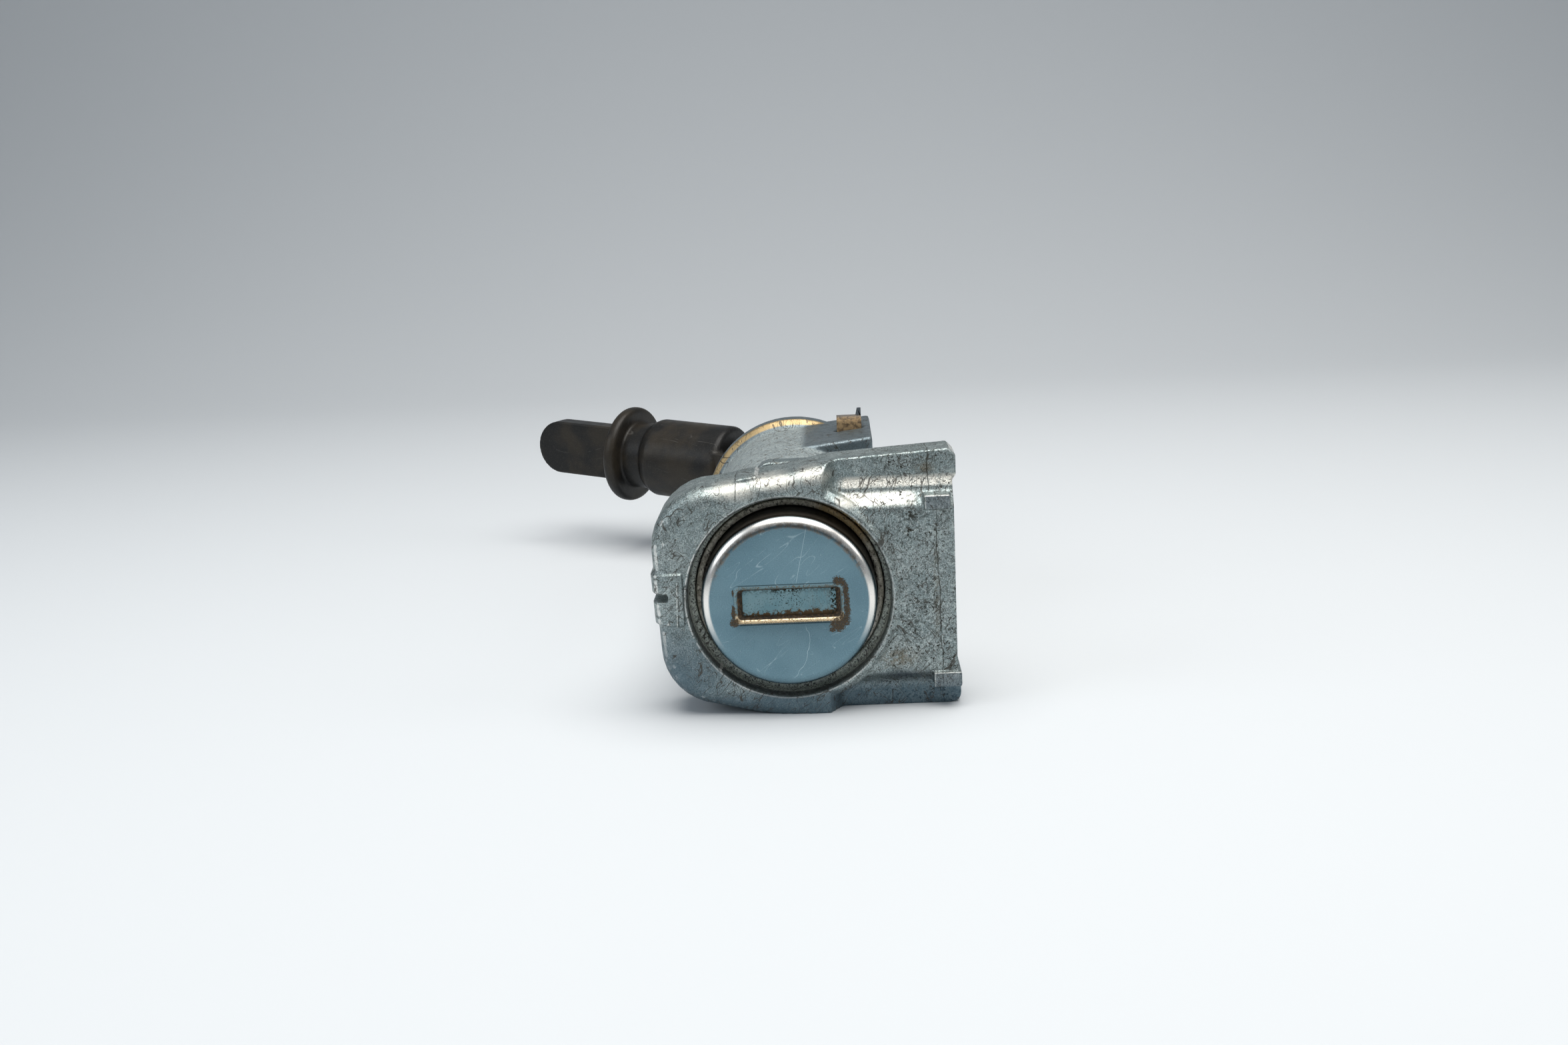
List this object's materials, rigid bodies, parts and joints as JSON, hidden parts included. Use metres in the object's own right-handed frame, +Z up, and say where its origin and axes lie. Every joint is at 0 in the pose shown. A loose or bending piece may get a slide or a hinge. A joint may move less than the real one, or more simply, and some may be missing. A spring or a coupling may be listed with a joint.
{
  "type": "door lock cylinder",
  "caption": "Car door lock cylinder: cast flanged housing, key plug with a shuttered slot and sprung wafers, and a tail shaft on a universal joint.",
  "frame": {"origin": "On the flat foot under the flange, midway through the rails' depth and straight below the barrel's axis", "axes": "+X to the right seen from the key side, +Y along the barrel from the key slot towards the tail, +Z up"},
  "size_m": [0.0562, 0.0855, 0.0262],
  "materials": {
    "cast_metal": "die cast, speckled with dirt and fine pits",
    "cap_steel": "satin pressed sheet with a bright rolled edge",
    "sleeve_metal": "dull grey, greasy",
    "plug_brass": "turned",
    "shutter_steel": "dull with grime",
    "wafer_brass": "stamped",
    "spring_steel": "bright wire and pins",
    "rusty_steel": "rusty spring steel",
    "black_plastic": "satin moulded"
  },
  "bodies": {
    "housing": {"housing": "cast_metal", "lock_sleeve": "sleeve_metal", "retaining_clip": "rusty_steel", "return_spring": "spring_steel"},
    "plug": {"plug": "plug_brass", "plug_circlip": "spring_steel", "face_cap": "cap_steel", "shutter_pin": "spring_steel", "shutter_spring": "spring_steel", "drive_coupling": "black_plastic", "coupling_pin": "spring_steel", "wafer_spring_1": "spring_steel", "wafer_spring_2": "spring_steel", "wafer_spring_3": "spring_steel", "wafer_spring_4": "spring_steel", "wafer_spring_5": "spring_steel", "wafer_spring_6": "spring_steel", "wafer_spring_7": "spring_steel", "wafer_spring_8": "spring_steel"},
    "shutter": {"shutter": "shutter_steel"},
    "wafer_1": {"wafer_1": "wafer_brass"},
    "wafer_2": {"wafer_2": "wafer_brass"},
    "wafer_3": {"wafer_3": "wafer_brass"},
    "wafer_4": {"wafer_4": "wafer_brass"},
    "wafer_5": {"wafer_5": "wafer_brass"},
    "wafer_6": {"wafer_6": "wafer_brass"},
    "wafer_7": {"wafer_7": "wafer_brass"},
    "wafer_8": {"wafer_8": "wafer_brass"},
    "joint_cross": {"joint_cross": "black_plastic"},
    "tail": {"tail_shaft": "black_plastic"}
  },
  "joints": [
    {"name": "plug_turn", "type": "hinge", "parent": "housing", "child": "plug", "pos_m": [0, 0, 0.0122], "axis": [0, 1, 0], "range_deg": [-90, 90], "stiffness_Nm_per_rad": 0.04, "deforming": ["return_spring"]},
    {"name": "shutter_flap", "type": "hinge", "parent": "plug", "child": "shutter", "pos_m": [0, -0.00495, 0.0144], "axis": [1, 0, 0], "range_deg": [0, 80], "stiffness_Nm_per_rad": 0.0002, "deforming": ["shutter_spring"]},
    {"name": "wafer_1_slide", "type": "slide", "parent": "plug", "child": "wafer_1", "axis": [1, 0, 0], "range_m": [0, 0.001], "stiffness_N_per_m": 40},
    {"name": "wafer_2_slide", "type": "slide", "parent": "plug", "child": "wafer_2", "axis": [1, 0, 0], "range_m": [0, 0.001], "stiffness_N_per_m": 40},
    {"name": "wafer_3_slide", "type": "slide", "parent": "plug", "child": "wafer_3", "axis": [1, 0, 0], "range_m": [0, 0.001], "stiffness_N_per_m": 40},
    {"name": "wafer_4_slide", "type": "slide", "parent": "plug", "child": "wafer_4", "axis": [1, 0, 0], "range_m": [0, 0.001], "stiffness_N_per_m": 40},
    {"name": "wafer_5_slide", "type": "slide", "parent": "plug", "child": "wafer_5", "axis": [1, 0, 0], "range_m": [0, 0.001], "stiffness_N_per_m": 40},
    {"name": "wafer_6_slide", "type": "slide", "parent": "plug", "child": "wafer_6", "axis": [1, 0, 0], "range_m": [0, 0.001], "stiffness_N_per_m": 40},
    {"name": "wafer_7_slide", "type": "slide", "parent": "plug", "child": "wafer_7", "axis": [1, 0, 0], "range_m": [0, 0.001], "stiffness_N_per_m": 40},
    {"name": "wafer_8_slide", "type": "slide", "parent": "plug", "child": "wafer_8", "axis": [1, 0, 0], "range_m": [0, 0.001], "stiffness_N_per_m": 40},
    {"name": "tail_swing", "type": "hinge", "parent": "plug", "child": "joint_cross", "pos_m": [0, 0.0582, 0.0122], "axis": [0, 0, 1], "range_deg": [-138, 12]},
    {"name": "tail_tilt", "type": "hinge", "parent": "joint_cross", "child": "tail", "pos_m": [0, 0.0582, 0.0122], "axis": [0.454, 0.891, 0], "range_deg": [-33, 27]}
  ]
}
